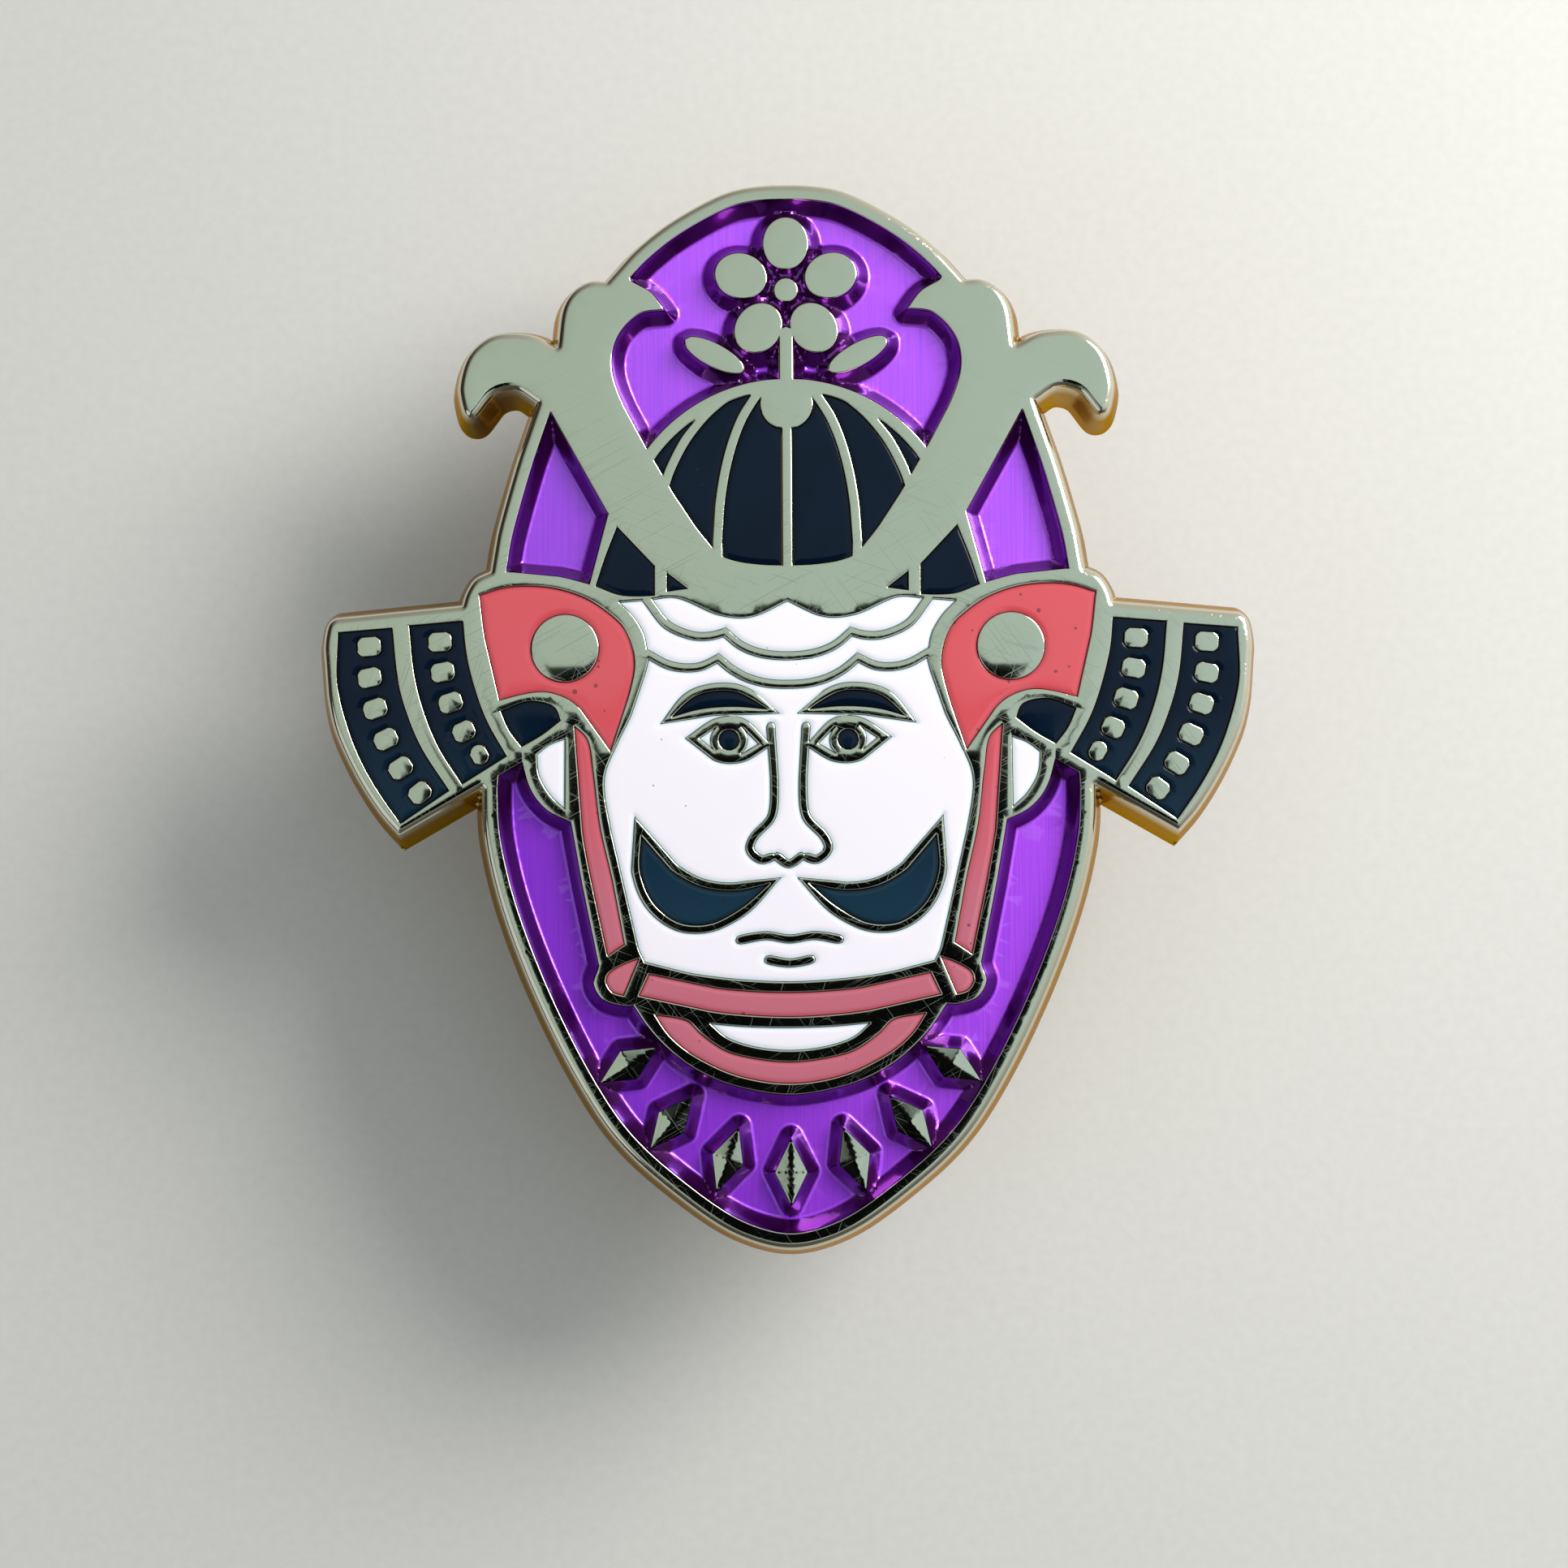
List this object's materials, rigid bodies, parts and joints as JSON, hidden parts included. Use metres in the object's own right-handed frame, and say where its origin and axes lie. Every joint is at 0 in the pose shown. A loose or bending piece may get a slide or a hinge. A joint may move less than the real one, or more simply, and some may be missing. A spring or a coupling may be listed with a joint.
{
  "type": "enamel pin",
  "caption": "Hard-enamel lapel pin of a helmeted warrior mask: struck metal plate with enamel cells and violet basins, two posts and two butterfly clutches.",
  "frame": {"origin": "under the middle of the pin, on the plane of the two clutch ends that it lies on", "axes": "+X to the right across the face, +Y up the face towards the crown, +Z out of the face"},
  "size_m": [0.0336, 0.0385, 0.0105],
  "materials": {
    "pale_gold_plating": "polished pale gold plating over struck brass, lightly scratched",
    "violet_resin": "clear violet resin over brushed metal, in basins with steep dark sides",
    "black_enamel": "blue-black hard enamel, polished nearly flush",
    "red_enamel": "coral red hard enamel, polished nearly flush",
    "white_enamel": "white hard enamel, polished nearly flush",
    "clutch_brass": "pressed yellow brass sheet, bright with fine scuffs",
    "spring_steel": "drawn spring wire"
  },
  "bodies": {
    "badge": {"bowl_panel_1": "black_enamel", "bowl_panel_2": "black_enamel", "bowl_panel_3": "black_enamel", "bowl_panel_4": "black_enamel", "bowl_panel_5": "black_enamel", "bowl_panel_6": "black_enamel", "brim_lower": "white_enamel", "brim_upper": "white_enamel", "chin": "white_enamel", "chin_cup": "red_enamel", "chin_strap": "red_enamel", "crown_basin": "violet_resin", "ear_left": "white_enamel", "ear_right": "white_enamel", "eye_left_1": "white_enamel", "eye_left_2": "white_enamel", "eye_right_1": "white_enamel", "eye_right_2": "white_enamel", "eyebrow_left": "black_enamel", "eyebrow_right": "black_enamel", "face": "white_enamel", "flap_left": "red_enamel", "flap_lining_left": "black_enamel", "flap_lining_right": "black_enamel", "flap_right": "red_enamel", "guard_inner_left": "black_enamel", "guard_inner_right": "black_enamel", "guard_outer_left": "black_enamel", "guard_outer_right": "black_enamel", "iris_left": "black_enamel", "iris_right": "black_enamel", "lower_basin": "violet_resin", "lower_post": "pale_gold_plating", "moustache_left": "black_enamel", "moustache_right": "black_enamel", "plate": "pale_gold_plating", "side_basin_left": "violet_resin", "side_basin_right": "violet_resin", "strap_knot_left": "red_enamel", "strap_knot_right": "red_enamel", "strap_left": "red_enamel", "strap_right": "red_enamel", "temple_corner_left": "black_enamel", "temple_corner_right": "black_enamel", "temple_panel_left": "black_enamel", "temple_panel_right": "black_enamel", "upper_post": "pale_gold_plating"},
    "upper_disc": {"upper_clutch_disc": "clutch_brass"},
    "upper_cap": {"upper_clutch_cap": "clutch_brass", "upper_clutch_spring": "spring_steel"},
    "upper_right_wing": {"upper_clutch_wing_right": "clutch_brass"},
    "upper_left_wing": {"upper_clutch_wing_left": "clutch_brass"},
    "lower_disc": {"lower_clutch_disc": "clutch_brass"},
    "lower_cap": {"lower_clutch_cap": "clutch_brass", "lower_clutch_spring": "spring_steel"},
    "lower_right_wing": {"lower_clutch_wing_right": "clutch_brass"},
    "lower_left_wing": {"lower_clutch_wing_left": "clutch_brass"}
  },
  "joints": [
    {"name": "upper_clutch_pull", "type": "slide", "parent": "badge", "child": "upper_disc", "axis": [0, 0, -1], "range_m": [0, 0.0065]},
    {"name": "upper_clutch_turn", "type": "hinge", "parent": "upper_disc", "child": "upper_cap", "pos_m": [0, 0.009, 0], "axis": [0, 0, 1], "continuous": true},
    {"name": "upper_squeeze", "type": "slide", "parent": "upper_cap", "child": "upper_right_wing", "axis": [-1, 0, 0], "range_m": [0, 0.0007], "stiffness_N_per_m": 1500, "springref_m": -0.0003, "deforming": ["upper_clutch_spring"]},
    {"name": "upper_squeeze_left", "type": "slide", "parent": "upper_cap", "child": "upper_left_wing", "axis": [1, 0, 0], "range_m": [0, 0.0007]},
    {"name": "lower_clutch_pull", "type": "slide", "parent": "badge", "child": "lower_disc", "axis": [0, 0, -1], "range_m": [0, 0.0065]},
    {"name": "lower_clutch_turn", "type": "hinge", "parent": "lower_disc", "child": "lower_cap", "pos_m": [0, -0.009, 0], "axis": [0, 0, 1], "continuous": true},
    {"name": "lower_squeeze", "type": "slide", "parent": "lower_cap", "child": "lower_right_wing", "axis": [-1, 0, 0], "range_m": [0, 0.0007], "stiffness_N_per_m": 1500, "springref_m": -0.0003, "deforming": ["lower_clutch_spring"]},
    {"name": "lower_squeeze_left", "type": "slide", "parent": "lower_cap", "child": "lower_left_wing", "axis": [1, 0, 0], "range_m": [0, 0.0007]}
  ],
  "couplings": [
    {"joint": "upper_squeeze_left", "follows": "upper_squeeze", "ratio": 1},
    {"joint": "lower_squeeze_left", "follows": "lower_squeeze", "ratio": 1}
  ]
}
